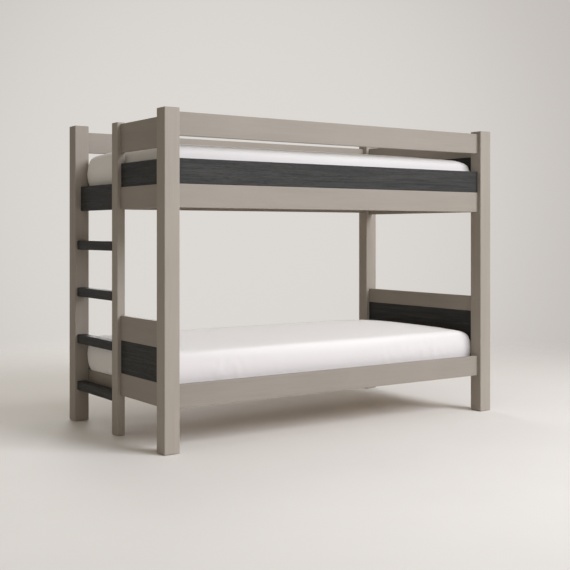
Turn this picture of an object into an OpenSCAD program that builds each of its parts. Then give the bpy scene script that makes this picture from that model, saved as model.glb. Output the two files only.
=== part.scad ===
// A bunk bed with one single bed straight above another. Four square posts carry
// plank sides, stained accent boards and two slatted bases. A fixed ladder is built
// into the back half of the left end, and each bed has a mattress in a fitted sheet.
// X runs along the bed to the closed end, Y to the back and Z up, in millimetres.
// The origin is on the floor, in the middle of the footprint.

/* [Mattress] */
// Length of each mattress
mattress_l = 2032; // [1850:1:2150]
// Width of each mattress
mattress_w = 965; // [850:1:1100]
// Thickness of each mattress at the top of its crown
mattress_h = 222; // [160:1:230]
// Height of the crown above the top edges
mattress_crown = 26; // [6:1:28]
// How far in from the top edges the crown keeps rising
mattress_crown_run = 240; // [150:5:280]
// Radius of the upright corners, seen from above
mattress_corner_r = 16; // [15:1:60]
// Radius of the padded top edges
mattress_top_r = 36; // [30:1:65]
// Radius of the bottom edges
mattress_bottom_r = 16; // [8:1:25]
// How far the side walls swell out at mid height
mattress_bulge = 8; // [1:1:12]
// How far each side is drawn in half way between two corners
mattress_draw_in = 2; // [0:1:6]
// Thickness of the fitted sheet with its padding
sheet_t = 1; // [0.8:0.1:2]
// How far the sheet's elastic hem reaches in under the mattress
sheet_hem = 70; // [40:1:110]

/* [Posts and boards] */
// Side of each square post
post_w = 82; // [74:1:100]
// Rounding of a post's upright edges
post_arris = 4; // [2:0.5:8]
// Bevel round the top of each post
post_bevel = 3; // [1:0.5:6]
// Thickness of rails, guards and top boards
board_t = 25; // [22:1:30]
// Rounding of the boards' long edges
board_arris = 2.5; // [1.5:0.5:4]
// How far an accent board's face lies behind the board below it
accent_recess = 3; // [0:0.5:5]
// Depth of the long boards' faces behind the posts' faces
side_inset = 24; // [14:1:28]
// Depth of the end boards' faces behind the posts' faces
end_inset = 34; // [28:1:40]
// Height of every bed rail
rail_h = 115; // [108:1:130]

/* [Upper bed] */
// Height of the upper rails above the floor
upper_rail_z = 1174; // [1120:1:1300]
// How much higher the back rail's lower edge lies
back_rail_lift = 12; // [0:1:14]
// Height of the accent boards above the upper rails
accent_h = 123; // [90:1:140]
// Height of the accent board at the closed end
right_accent_h = 213; // [180:1:230]
// Height of the long guard boards and the closed end's guard
guard_h = 115; // [90:1:130]
// Height of the guard board beside the ladder
left_guard_h = 148; // [120:1:160]
// Open gap under the front guard board
front_guard_gap = 107; // [90:1:120]
// Open gap under the back guard board
back_guard_gap = 90; // [70:1:105]
// Open gap under the guard board beside the ladder
left_guard_gap = 56; // [40:1:70]
// How far the posts stand above the front guard board
post_rise = 16; // [8:1:40]
// Depth of the slats' tops below the top of the upper rail
upper_slat_drop = 0; // [0:1:40]

/* [Lower bed] */
// Height of the lower rails above the floor
lower_rail_z = 211; // [185:1:260]
// Height of the accent board beside the ladder
lower_left_accent_h = 170; // [120:1:200]
// Height of the board that tops the end beside the ladder
lower_left_top_h = 128; // [90:1:150]
// Height of the accent board at the closed end
lower_right_accent_h = 259; // [200:1:280]
// Height of the board that tops the closed end
lower_right_top_h = 89; // [70:1:120]
// Depth of the slats' tops below the top of the lower rail
lower_slat_drop = 44; // [15:1:50]

/* [Ladder] */
// Clear width between the stile and the back post
ladder_w = 444; // [350:1:500]
// Width of the stile along the end of the bed
stile_w = 67; // [55:1:85]
// Thickness of the stile, which is flush with the end boards inside
stile_t = 44; // [38:1:50]
// How far the stile stands above the guard board beside it
stile_rise = 8; // [0:1:30]
// Number of rungs
rung_count = 4; // [4:1:4]
// Height of the lowest rung's underside
rung_first_z = 175; // [130:1:220]
// Distance from one rung to the next
rung_pitch = 261; // [235:1:265]
// Depth of a rung's tread
rung_d = 52; // [44:1:54]
// Height of a rung
rung_h = 50; // [40:1:55]
// Depth of the rungs' fronts behind the post's face
rung_inset = 13; // [5:1:13]
// Rounding of the rungs' edges
rung_arris = 5; // [2:0.5:8]
// Height of the board above the ladder, up to the bed's edge
header_h = 136; // [120:1:160]

/* [Slats] */
// Number of slats in each base
slat_count = 14; // [10:1:16]
// Width of a slat
slat_w = 70; // [55:1:80]
// Thickness of a slat
slat_t = 18; // [15:1:22]
// Thickness of the ledgers that carry the slats
ledger_t = 25; // [20:1:30]
// Height of the ledgers
ledger_h = 35; // [25:1:45]
// Screws along each ledger
ledger_screws = 7; // [4:1:9]
// Width of the webbing under the slats
strap_w = 28; // [20:1:40]
// Thickness of the webbing
strap_t = 1.5; // [1:0.1:2.5]
// Distance between the two lines of webbing
strap_spacing = 520; // [300:1:700]

/* [Joinery] */
// Length of the tenons on end boards and rungs
tenon_l = 18; // [12:1:22]
// Thickness of the end boards' tenons
tenon_t = 12; // [8:1:14]
// Height of a board above and below its tenon
tenon_shoulder = 12; // [8:1:20]
// Thickness of the rungs' tenons
rung_tenon_t = 24; // [18:1:28]
// Diameter of the beech dowels
dowel_d = 10; // [8:0.5:12]
// Length of a dowel
dowel_l = 36; // [30:1:40]
// Distance of a dowel from the nearest edge of its board
dowel_edge = 30; // [22:1:36]
// Height of the steel bed-rail plates
plate_h = 88; // [84:1:90]
// Width of the plates
plate_w = 16; // [14:0.5:18]
// Thickness of the plates
plate_t = 2.5; // [2:0.5:3]
// Thickness of a hook
hook_t = 3; // [2:0.5:4]
// Height of a hook's neck
hook_neck = 9; // [7:0.5:10]
// How far a hook drops behind its slotted plate
hook_drop = 9; // [6:0.5:9]
// Diameter of the screws
screw_d = 4; // [3:0.5:5]
// Diameter of a screw's countersunk head
screw_head_d = 7.6; // [6.5:0.1:8]
// Diameter of the floor glides
glide_d = 36; // [26:1:40]
// Thickness of the floor glides
glide_t = 3; // [2:0.5:6]

/* [Clearances] */
// Gap between a mattress and the posts beside it
side_gap = 5.5; // [4:0.5:15]
// Gap between a mattress and the end boards
end_gap = 10; // [8:0.5:20]
// Gap round tenons, dowels, plates and screws
fit_gap = 0.15; // [0.1:0.05:0.3]
// Gap between soft pieces and what they rest on
soft_gap = 0.3; // [0.2:0.1:0.5]
// Gap at the ends of slats and ledgers
slat_gap = 3; // [1:0.5:6]

/* [Hidden] */
$fn = 24;

// Finishes
TAUPE = "#a79d91";
BLACK_STAIN = "#3b3a38";
PINE = "#d0b58c";
BEECH = "#c79a68";
STEEL = "#aeb2b6";
WEBBING = "#5c5a57";
TICKING = "#e4dfd6";
COTTON = "#f0ecea";
FELT = "#4b4743";

// Ends and sides of the bed
LEFT = -1;
RIGHT = 1;
FRONT = -1;
BACK = 1;

// Overall size, worked out from the mattress outwards
bed_l = mattress_l + 2 * (end_gap + board_t + end_inset);
bed_w = mattress_w + 2 * (side_gap + post_w);

// Heights of the upper boards
accent_z = upper_rail_z + rail_h;
accent_top = accent_z + accent_h;
front_guard_z = accent_top + front_guard_gap;
back_guard_z = accent_top + back_guard_gap;
left_guard_z = accent_top + left_guard_gap;
right_guard_z = accent_z + right_accent_h;
post_top = front_guard_z + guard_h + post_rise;
stile_top = left_guard_z + left_guard_h + stile_rise;

// Heights of the lower boards
lower_accent_z = lower_rail_z + rail_h;
lower_left_top_z = lower_accent_z + lower_left_accent_h;
lower_right_top_z = lower_accent_z + lower_right_accent_h;

// Tops of the slats, on which the mattresses rest
upper_slat_top = upper_rail_z + rail_h - upper_slat_drop;
lower_slat_top = lower_rail_z + rail_h - lower_slat_drop;

// Planes inside the posts, measured from the outside of the bed
side_centre = side_inset + board_t / 2;
side_inner = side_inset + board_t;
end_centre = end_inset + board_t / 2;
end_inner = end_inset + board_t;

// The ladder stile, measured along Y, and its depth behind the post's face
stile_back_y = bed_w / 2 - post_w - ladder_w;
stile_front_y = stile_back_y - stile_w;
stile_inset = end_inner - stile_t;
stile_centre = stile_inset + stile_t / 2;
post_front_y = -bed_w / 2 + post_w;
post_back_y = bed_w / 2 - post_w;

// Each end board as its height above the floor and its own height
LEFT_BOARDS = [
    [left_guard_z, left_guard_h], [accent_z, accent_h], [upper_rail_z, rail_h],
    [lower_left_top_z, lower_left_top_h], [lower_accent_z, lower_left_accent_h],
    [lower_rail_z, rail_h]
];
RIGHT_BOARDS = [
    [right_guard_z, guard_h], [accent_z, right_accent_h], [upper_rail_z, rail_h],
    [lower_right_top_z, lower_right_top_h], [lower_accent_z, lower_right_accent_h],
    [lower_rail_z, rail_h]
];
HEADER_BOARD = [upper_rail_z, header_h];

// Heights of the hooks' necks from the middle of their plate
hook_necks = [-24, 14];
// Heights of the screws from the middle of their plate
hook_screw_heights = [-2, 37];
strike_screw_heights = [-39, 39];
plate_screw_l = 26;
slat_screw_l = slat_t + 26;
ledger_screw_l = ledger_t + 15;
screw_head_h = (screw_head_d - screw_d) / 2 + 0.8;
screw_tip_l = 4;
// Heights of the cross rail's dowels, as parts of its own height
cross_dowel_heights = [0.2, 0.5];
socket_d = 3;
socket_depth = 1.6;

// The pin that holds a floor glide in its post
glide_pin_d = 6;
glide_pin_l = 14;

function side_guard_z(side) = side == FRONT ? front_guard_z : back_guard_z;
function upper_rail_bottom(side) = upper_rail_z + (side == BACK ? back_rail_lift : 0);
function upper_rail_height(side) = rail_h - (side == BACK ? back_rail_lift : 0);
function rung_z(i) = rung_first_z + (i - 1) * rung_pitch;
function dowel_heights(z, h) = [z + dowel_edge, z + h - dowel_edge];
function hook_plate_middle(level, side) = level == "upper"
    ? upper_rail_bottom(side) + upper_rail_height(side) / 2
    : lower_rail_z + rail_h / 2;
// Where a base's slats begin and end, between the posts or beside the cross rail
function base_start(level) = -bed_l / 2 + post_w + slat_gap
    + (level == "lower" ? board_t : 0);
function base_end() = bed_l / 2 - post_w - slat_gap;
function slat_top(level) = level == "upper" ? upper_slat_top : lower_slat_top;
function slat_x(level, i) = base_start(level)
    + i * (base_end() - base_start(level) - slat_w) / (slat_count - 1);

// ---------------------------------------------------------------- shapes

// A rectangle from its corner, with rounded corners
module eased_rect(w, d, r) {
    translate([r, 0]) square([w - 2 * r, d]);
    translate([0, r]) square([w, d - 2 * r]);
    for (x = [r, w - r], y = [r, d - r]) translate([x, y]) circle(r);
}

// A board along X from its corner: l long, t thick in Y and h high
module board_x(l, t, h, r = board_arris) {
    rotate([90, 0, 90]) linear_extrude(l) eased_rect(t, h, r);
}

// A board along Y from its corner: l long, t thick in X and h high
module board_y(l, t, h, r = board_arris) {
    translate([0, l, 0]) rotate([90, 0, 0]) linear_extrude(l) eased_rect(t, h, r);
}

// Puts its children at one corner of the bed, in a frame whose X and Y run inwards
// from the outside faces of that corner's post
module at_corner(end, side) {
    translate([end * bed_l / 2, side * bed_w / 2, 0])
        mirror([end == RIGHT ? 1 : 0, 0, 0])
            mirror([0, side == BACK ? 1 : 0, 0])
                children();
}

// Puts its children at one end of the bed, with X running inwards from its face
module at_end(end) {
    translate([end * bed_l / 2, 0, 0]) mirror([end == RIGHT ? 1 : 0, 0, 0]) children();
}

// A countersunk wood screw that points down, with its head's top at the origin
module screw(l) {
    difference() {
        union() {
            translate([0, 0, -screw_head_h])
                cylinder(h = screw_head_h, d1 = screw_d, d2 = screw_head_d);
            translate([0, 0, screw_tip_l - l]) cylinder(h = l - screw_tip_l, d = screw_d);
            translate([0, 0, -l]) cylinder(h = screw_tip_l, d1 = screw_d / 4, d2 = screw_d);
        }
        translate([0, 0, -socket_depth])
            cylinder(h = socket_depth + 1, d = socket_d, $fn = 6);
    }
}

// The hole for that screw, with its countersink
module screw_hole(l) {
    translate([0, 0, -screw_head_h])
        cylinder(h = screw_head_h, d1 = screw_d + 2 * fit_gap, d2 = screw_head_d + 2 * fit_gap);
    translate([0, 0, -l - 1]) cylinder(h = l + 1, d = screw_d + 2 * fit_gap);
    cylinder(h = 1, d = screw_head_d + 2 * fit_gap);
}

// A dowel or its hole along X, centred on the origin
module dowel_x(gap = 0) {
    rotate([0, 90, 0])
        cylinder(h = dowel_l + 4 * gap, d = dowel_d + 2 * gap, center = true);
}

// ---------------------------------------------------------------- posts

// Turns a screw or its hole to point along +X
module pointing_in() {
    rotate([0, -90, 0]) children();
}

// Turns a screw or its hole to point along -X
module pointing_out() {
    rotate([0, 90, 0]) children();
}

// The mortise for a tenon that enters a face from its +Y side, at the face itself
module mortise(t, h) {
    translate([-t / 2 - fit_gap, -tenon_l - 1, -fit_gap])
        cube([t + 2 * fit_gap, tenon_l + 2, h + 2 * fit_gap]);
}

// The mortises in the inner Y face of a post or in the front face of the stile
module board_mortises(boards, face_y) {
    for (b = boards)
        translate([end_centre, face_y, b[0] + tenon_shoulder])
            mortise(tenon_t, b[1] - 2 * tenon_shoulder);
}

module rung_mortises(face_y) {
    for (i = [1 : rung_count])
        translate([stile_centre, face_y, rung_z(i) + tenon_shoulder])
            mortise(rung_tenon_t, rung_h - 2 * tenon_shoulder);
}

// The recess and pockets that a strike plate and its hooks need in a post
module strike_recess(z) {
    translate([post_w - plate_t, side_centre - plate_w / 2 - fit_gap, z - plate_h / 2 - fit_gap])
        cube([plate_t + 1, plate_w + 2 * fit_gap, plate_h + 2 * fit_gap]);
    for (neck = hook_necks)
        translate([post_w - plate_t - hook_t - 3, side_centre - hook_t / 2 - 1,
                   z + neck - hook_drop - 1])
            cube([hook_t + 4, hook_t + 2, hook_drop + hook_neck + hook_drop + 2]);
    for (h = strike_screw_heights)
        translate([post_w, side_centre, z + h]) pointing_out() screw_hole(plate_screw_l);
}

module post_blank() {
    difference() {
        translate([0, 0, glide_t])
            linear_extrude(post_top - glide_t) eased_rect(post_w, post_w, post_arris);
        for (turn = [0 : 90 : 270])
            translate([post_w / 2, post_w / 2, post_top])
                rotate([0, 0, turn])
                    translate([post_w / 2, 0, 0])
                        rotate([0, 45, 0])
                            cube([post_bevel * sqrt(2), 2 * post_w, post_bevel * sqrt(2)],
                                 center = true);
    }
}

module glide_socket() {
    cylinder(h = glide_t + glide_pin_l + 1, d = glide_pin_d + 2 * fit_gap);
}

module corner_post(end, side) {
    color(TAUPE)
        at_corner(end, side)
            difference() {
                post_blank();
                strike_recess(hook_plate_middle("upper", side));
                strike_recess(hook_plate_middle("lower", side));
                for (z = concat(dowel_heights(accent_z, accent_h),
                                dowel_heights(side_guard_z(side), guard_h)))
                    translate([post_w, side_centre, z]) dowel_x(fit_gap);
                if (end == RIGHT) {
                    board_mortises(RIGHT_BOARDS, post_w);
                } else if (side == FRONT) {
                    board_mortises(LEFT_BOARDS, post_w);
                } else {
                    board_mortises([HEADER_BOARD], post_w);
                    rung_mortises(post_w);
                }
                translate([post_w / 2, post_w / 2, 0]) glide_socket();
            }
}

module front_left_post() corner_post(LEFT, FRONT);
module front_right_post() corner_post(RIGHT, FRONT);
module back_left_post() corner_post(LEFT, BACK);
module back_right_post() corner_post(RIGHT, BACK);

module floor_glide() {
    cylinder(h = glide_t, d = glide_d);
    cylinder(h = glide_t + glide_pin_l, d = glide_pin_d);
}

// One glide under each post and one under the stile
module floor_glides() {
    color(FELT) {
        for (end = [LEFT, RIGHT], side = [FRONT, BACK])
            at_corner(end, side) translate([post_w / 2, post_w / 2, 0]) floor_glide();
        at_end(LEFT)
            translate([stile_centre, (stile_front_y + stile_back_y) / 2, 0]) floor_glide();
    }
}

// ---------------------------------------------------------------- ladder

module ladder_stile() {
    color(TAUPE)
        at_end(LEFT)
            difference() {
                translate([stile_inset, stile_front_y, glide_t])
                    linear_extrude(stile_top - glide_t)
                        eased_rect(stile_t, stile_w, post_arris);
                // boards enter the stile's front face, and the ladder its back face
                mirror([0, 1, 0]) board_mortises(LEFT_BOARDS, -stile_front_y);
                board_mortises([HEADER_BOARD], stile_back_y);
                rung_mortises(stile_back_y);
                translate([stile_centre, (stile_front_y + stile_back_y) / 2, 0]) glide_socket();
            }
}

// A rung between the stile and the back post, with a tenon at each end
module rung(i) {
    color(BLACK_STAIN)
        at_end(LEFT)
            translate([0, stile_back_y, rung_z(i)]) {
                translate([rung_inset, 0, 0]) board_y(ladder_w, rung_d, rung_h, rung_arris);
                translate([stile_centre - rung_tenon_t / 2, -tenon_l, tenon_shoulder])
                    cube([rung_tenon_t, ladder_w + 2 * tenon_l, rung_h - 2 * tenon_shoulder]);
            }
}

module ladder_rung_1() rung(1);
module ladder_rung_2() rung(2);
module ladder_rung_3() rung(3);
module ladder_rung_4() rung(4);

// The board that closes the upper bed at the top of the ladder
module ladder_header_board() {
    end_board(LEFT, HEADER_BOARD, stile_back_y, post_back_y, 0, BLACK_STAIN);
}

// ---------------------------------------------------------------- end boards

// A board across one end from y_from to y_to, with a tenon at each end
module end_board(end, board, y_from, y_to, recess, finish) {
    color(finish)
        at_end(end)
            translate([0, y_from, board[0]]) {
                translate([end_inset + recess, 0, 0])
                    board_y(y_to - y_from, board_t - recess, board[1]);
                translate([end_centre - tenon_t / 2, -tenon_l, tenon_shoulder])
                    cube([tenon_t, y_to - y_from + 2 * tenon_l, board[1] - 2 * tenon_shoulder]);
            }
}

module left_board(i, recess, finish) {
    end_board(LEFT, LEFT_BOARDS[i], post_front_y, stile_front_y, recess, finish);
}

module right_board(i, recess, finish) {
    end_board(RIGHT, RIGHT_BOARDS[i], post_front_y, post_back_y, recess, finish);
}

module upper_left_guard() left_board(0, 0, TAUPE);
module upper_left_accent() left_board(1, accent_recess, BLACK_STAIN);
module upper_left_rail() left_board(2, 0, TAUPE);
module lower_left_top_board() left_board(3, 0, TAUPE);
module lower_left_accent() left_board(4, accent_recess, BLACK_STAIN);
module lower_left_rail() left_board(5, 0, TAUPE);

module upper_right_guard() right_board(0, 0, TAUPE);
module upper_right_accent() right_board(1, accent_recess, BLACK_STAIN);
module upper_right_rail() right_board(2, 0, TAUPE);
module lower_right_top_board() right_board(3, 0, TAUPE);
module lower_right_accent() right_board(4, accent_recess, BLACK_STAIN);
module lower_right_rail() right_board(5, 0, TAUPE);

// ---------------------------------------------------------------- long boards

// The plain board between the posts of one long side
module side_blank(side, z, h, recess) {
    translate([-bed_l / 2 + post_w, 0, 0])
        mirror([0, side == BACK ? 1 : 0, 0])
            translate([0, -bed_w / 2 + side_inset + recess, z])
                board_x(bed_l - 2 * post_w, board_t - recess, h);
}

// A guard or accent board, drilled for two dowels at each end
module dowelled_side_board(side, z, h, recess, finish) {
    color(finish)
        difference() {
            side_blank(side, z, h, recess);
            for (end = [LEFT, RIGHT], dz = dowel_heights(z, h))
                at_corner(end, side)
                    translate([post_w, side_centre, dz]) dowel_x(fit_gap);
        }
}

module upper_front_accent() {
    dowelled_side_board(FRONT, accent_z, accent_h, accent_recess, BLACK_STAIN);
}
module upper_back_accent() {
    dowelled_side_board(BACK, accent_z, accent_h, accent_recess, BLACK_STAIN);
}
module upper_front_guard() {
    dowelled_side_board(FRONT, front_guard_z, guard_h, 0, TAUPE);
}
module upper_back_guard() {
    dowelled_side_board(BACK, back_guard_z, guard_h, 0, TAUPE);
}

// A bed rail: its ends are cut for the hook plates, its inside face for the
// ledger's screws
module side_rail(level, side) {
    middle = hook_plate_middle(level, side);
    z = level == "upper" ? upper_rail_bottom(side) : lower_rail_z;
    h = level == "upper" ? upper_rail_height(side) : rail_h;
    color(TAUPE)
        difference() {
            side_blank(side, z, h, 0);
            for (end = [LEFT, RIGHT])
                at_corner(end, side)
                    translate([post_w, side_centre, middle]) {
                        translate([-1, -plate_w / 2 - fit_gap, -plate_h / 2 - fit_gap])
                            cube([plate_t + 1, plate_w + 2 * fit_gap, plate_h + 2 * fit_gap]);
                        for (h_screw = hook_screw_heights)
                            translate([0, 0, h_screw]) pointing_in() screw_hole(plate_screw_l);
                    }
            at_ledger_screws(level, side) screw_hole(ledger_screw_l);
            if (level == "lower") cross_rail_dowel_set(side, fit_gap);
        }
}

module upper_front_rail() side_rail("upper", FRONT);
module upper_back_rail() side_rail("upper", BACK);
module lower_front_rail() side_rail("lower", FRONT);
module lower_back_rail() side_rail("lower", BACK);

// ---------------------------------------------------------------- cross rail

// The two dowels that fix the cross rail to one lower rail, or their holes
module cross_rail_dowel_set(side, gap = 0) {
    for (part = cross_dowel_heights)
        at_corner(LEFT, side)
            translate([post_w + board_t / 2, side_inner - board_t / 2 - gap,
                       lower_rail_z + part * (lower_slat_top - lower_rail_z)])
                rotate([-90, 0, 0]) cylinder(h = dowel_l + 2 * gap, d = dowel_d + 2 * gap);
}

// Closes the lower base under the mattress where the ladder leaves the end open
module lower_cross_rail() {
    color(TAUPE)
        difference() {
            translate([-bed_l / 2 + post_w, -bed_w / 2 + side_inner, lower_rail_z])
                board_y(bed_w - 2 * side_inner, board_t, lower_slat_top - lower_rail_z);
            for (side = [FRONT, BACK]) cross_rail_dowel_set(side, fit_gap);
        }
}

module cross_rail_dowels() {
    color(BEECH) for (side = [FRONT, BACK]) cross_rail_dowel_set(side);
}

// ---------------------------------------------------------------- dowels

module side_dowels(side, heights) {
    for (end = [LEFT, RIGHT], z = heights)
        at_corner(end, side) translate([post_w, side_centre, z]) dowel_x();
}

module guard_dowels() {
    color(BEECH)
        for (side = [FRONT, BACK]) side_dowels(side, dowel_heights(side_guard_z(side), guard_h));
}

module accent_dowels() {
    color(BEECH)
        for (side = [FRONT, BACK]) side_dowels(side, dowel_heights(accent_z, accent_h));
}

// ---------------------------------------------------------------- rail plates

// Puts its children at the four ends of one bed's long rails, with X running from
// the post's inner face into the rail
module at_rail_ends(level) {
    for (end = [LEFT, RIGHT], side = [FRONT, BACK])
        at_corner(end, side)
            translate([post_w, side_centre, hook_plate_middle(level, side)]) children();
}

// A hook's outline: its neck passes the slot, and its tip drops behind the plate
module hook_profile() {
    back = -plate_t - soft_gap;
    polygon([
        [0, 0], [0, hook_neck], [back - hook_t, hook_neck], [back - hook_t, 2 - hook_drop],
        [back - hook_t / 2, -hook_drop], [back, -hook_drop], [back, 0]
    ]);
}

// A plate in the end of a rail, with two hooks that drop into the strike plate
module hook_plate() {
    difference() {
        translate([0, -plate_w / 2, -plate_h / 2]) cube([plate_t, plate_w, plate_h]);
        for (h = hook_screw_heights)
            translate([0, 0, h]) pointing_in() screw_hole(plate_screw_l);
    }
    for (neck = hook_necks)
        translate([0, hook_t / 2, neck])
            rotate([90, 0, 0]) linear_extrude(hook_t) hook_profile();
}

// A slotted plate let into the post, on which the hooks hang
module strike_plate() {
    difference() {
        translate([-plate_t, -plate_w / 2, -plate_h / 2]) cube([plate_t, plate_w, plate_h]);
        for (neck = hook_necks)
            translate([-plate_t - 1, -hook_t / 2 - 0.5, neck])
                cube([plate_t + 2, hook_t + 1, hook_neck + hook_drop + 0.5]);
        for (h = strike_screw_heights)
            translate([0, 0, h]) pointing_out() screw_hole(plate_screw_l);
    }
}

module upper_hook_plates() color(STEEL) at_rail_ends("upper") hook_plate();
module lower_hook_plates() color(STEEL) at_rail_ends("lower") hook_plate();
module upper_strike_plates() color(STEEL) at_rail_ends("upper") strike_plate();
module lower_strike_plates() color(STEEL) at_rail_ends("lower") strike_plate();

module hook_plate_screws() {
    color(STEEL)
        for (level = ["upper", "lower"], h = hook_screw_heights)
            at_rail_ends(level) translate([0, 0, h]) pointing_in() screw(plate_screw_l);
}

module strike_plate_screws() {
    color(STEEL)
        for (level = ["upper", "lower"], h = strike_screw_heights)
            at_rail_ends(level) translate([0, 0, h]) pointing_out() screw(plate_screw_l);
}

// ---------------------------------------------------------------- slatted bases

// Puts its children at a ledger's screws, pointing out through it into the rail
module at_ledger_screws(level, side) {
    from = base_start(level) + slat_w * 1.5;
    step = (base_end() - base_start(level) - slat_w * 3) / (ledger_screws - 1);
    for (i = [0 : ledger_screws - 1])
        translate([from + i * step, side * (bed_w / 2 - side_inner - ledger_t),
                   slat_top(level) - slat_t - ledger_h / 2])
            rotate([side * 90, 0, 0]) children();
}

// Puts its children at the screws of the first and last slats, pointing down
module at_slat_screws(level, side) {
    for (i = [0, slat_count - 1])
        translate([slat_x(level, i) + slat_w / 2,
                   side * (bed_w / 2 - side_inner - ledger_t / 2), slat_top(level)])
            children();
}

// The strip along the inside of a rail on which the slats rest
module ledger(level, side) {
    color(PINE)
        difference() {
            translate([base_start(level),
                       side == FRONT ? -bed_w / 2 + side_inner : bed_w / 2 - side_inner - ledger_t,
                       slat_top(level) - slat_t - ledger_h])
                board_x(base_end() - base_start(level), ledger_t, ledger_h);
            at_ledger_screws(level, side) screw_hole(ledger_screw_l);
            at_slat_screws(level, side) screw_hole(slat_screw_l);
        }
}

module upper_front_ledger() ledger("upper", FRONT);
module upper_back_ledger() ledger("upper", BACK);
module lower_front_ledger() ledger("lower", FRONT);
module lower_back_ledger() ledger("lower", BACK);

module slats(level) {
    slat_l = bed_w - 2 * (side_inner + slat_gap);
    color(PINE)
        difference() {
            for (i = [0 : slat_count - 1])
                translate([slat_x(level, i), -slat_l / 2, slat_top(level) - slat_t])
                    board_y(slat_l, slat_w, slat_t);
            for (side = [FRONT, BACK]) at_slat_screws(level, side) screw_hole(slat_screw_l);
        }
}

// Two lines of webbing stapled under the slats, which keep them apart
module slat_straps(level) {
    color(WEBBING)
        for (line = [-1, 1])
            translate([base_start(level), line * strap_spacing / 2 - strap_w / 2,
                       slat_top(level) - slat_t - strap_t])
                cube([base_end() - base_start(level), strap_w, strap_t]);
}

module slat_screws(level) {
    color(STEEL) for (side = [FRONT, BACK]) at_slat_screws(level, side) screw(slat_screw_l);
}

module ledger_screw_set(level) {
    color(STEEL)
        for (side = [FRONT, BACK]) at_ledger_screws(level, side) screw(ledger_screw_l);
}

module upper_slats() slats("upper");
module lower_slats() slats("lower");
module upper_slat_straps() slat_straps("upper");
module lower_slat_straps() slat_straps("lower");
module upper_slat_screws() slat_screws("upper");
module lower_slat_screws() slat_screws("lower");
module upper_ledger_screws() ledger_screw_set("upper");
module lower_ledger_screws() ledger_screw_set("lower");

// ---------------------------------------------------------------- mattresses

// Points on each quarter of a corner, and between two corners
corner_steps = 6;
long_side_points = 5;
short_side_points = 3;
ring_points = 4 * (corner_steps + 1) + 2 * long_side_points + 2 * short_side_points;

// The mattress's wall from the hem under it to the middle of its top. Each entry is
// the inset from the full outline, the height, and the outward normal's two parts.
shoulder_z = mattress_h - mattress_crown;
under_inset = mattress_bulge + mattress_bottom_r + sheet_hem;
top_inset = mattress_bulge + mattress_top_r;
WALL = concat(
    [[under_inset, 0, 0, -1]],
    [for (a = [-90, -45, 0])
        [mattress_bulge + mattress_bottom_r * (1 - cos(a)),
         mattress_bottom_r * (1 + sin(a)), cos(a), sin(a)]],
    [[0, mattress_h * 0.45, 1, 0]],
    [for (a = [0, 30, 60, 85])
        [mattress_bulge + mattress_top_r * (1 - cos(a)),
         shoulder_z - mattress_top_r * (1 - sin(a)), cos(a), sin(a)]],
    [for (s = [0.2, 0.5, 1])
        [top_inset + mattress_crown_run * s, shoulder_z + mattress_crown * sin(90 * s), 0, 1]]
);

// Points between the ends of one side, drawn in half way along
function side_points(from, to, count, inward) = [
    for (i = [1 : count])
        let (s = i / (count + 1))
            from + (to - from) * s + inward * mattress_draw_in * (1 - pow(2 * s - 1, 2))
];

function corner_points(centre, r, from) = [
    for (i = [0 : corner_steps])
        let (a = from + 90 * i / corner_steps) centre + r * [cos(a), sin(a)]
];

// The outline at one entry of the wall, pushed out by gap
function ring(entry, gap) =
    let (inset = entry[0] - gap * entry[2],
         x = mattress_l / 2 - inset,
         y = mattress_w / 2 - inset,
         r = min(mattress_corner_r + entry[0] + gap * entry[2], y * 0.95),
         z = entry[1] + gap * entry[3],
         flat = concat(
             corner_points([x - r, y - r], r, 0),
             side_points([x - r, y], [r - x, y], long_side_points, [0, -1]),
             corner_points([r - x, y - r], r, 90),
             side_points([-x, y - r], [-x, r - y], short_side_points, [1, 0]),
             corner_points([r - x, r - y], r, 180),
             side_points([r - x, -y], [x - r, -y], long_side_points, [0, 1]),
             corner_points([x - r, r - y], r, 270),
             side_points([x, r - y], [x, y - r], short_side_points, [-1, 0])))
    [for (p = flat) [p[0], p[1], z]];

function wall_points(gap) = [for (entry = WALL) each ring(entry, gap)];
function top_point(gap) = [0, 0, mattress_h + gap];

// Triangles between neighbouring rings, and from a ring to one point
function band_faces(rings, from = 0) = [
    for (k = [0 : rings - 2], i = [0 : ring_points - 1])
        let (j = (i + 1) % ring_points, a = from + k * ring_points, b = a + ring_points)
            each [[a + i, b + i, b + j], [a + i, b + j, a + j]]
];
function fan_faces(start, point) = [
    for (i = [0 : ring_points - 1]) [start + i, point, start + (i + 1) % ring_points]
];
function flipped(faces) = [for (f = faces) [f[0], f[2], f[1]]];

module mattress_form() {
    n = len(WALL);
    points = concat(wall_points(0), [top_point(0), [0, 0, 0]]);
    polyhedron(points, concat(
        band_faces(n), fan_faces((n - 1) * ring_points, n * ring_points),
        flipped(fan_faces(0, n * ring_points + 1))));
}

// The sheet over the mattress: an outer and an inner skin, joined along the hem
module sheet_form() {
    n = len(WALL);
    inner = n * ring_points + 1;
    outer_gap = soft_gap + sheet_t;
    points = concat(wall_points(outer_gap), [top_point(outer_gap)],
                    wall_points(soft_gap), [top_point(soft_gap)]);
    polyhedron(points, concat(
        band_faces(n), fan_faces((n - 1) * ring_points, inner - 1),
        flipped(band_faces(n, inner)),
        flipped(fan_faces(inner + (n - 1) * ring_points, inner + inner - 1)),
        [for (i = [0 : ring_points - 1])
            let (j = (i + 1) % ring_points)
                each [[i, j, inner + j], [i, inner + j, inner + i]]]));
}

// Height of a mattress's underside, above the sheet's hem and the slats
function mattress_z(level) = slat_top(level) + 2 * soft_gap + sheet_t;

module mattress(level) color(TICKING) translate([0, 0, mattress_z(level)]) mattress_form();
module fitted_sheet(level) color(COTTON) translate([0, 0, mattress_z(level)]) sheet_form();

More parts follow.
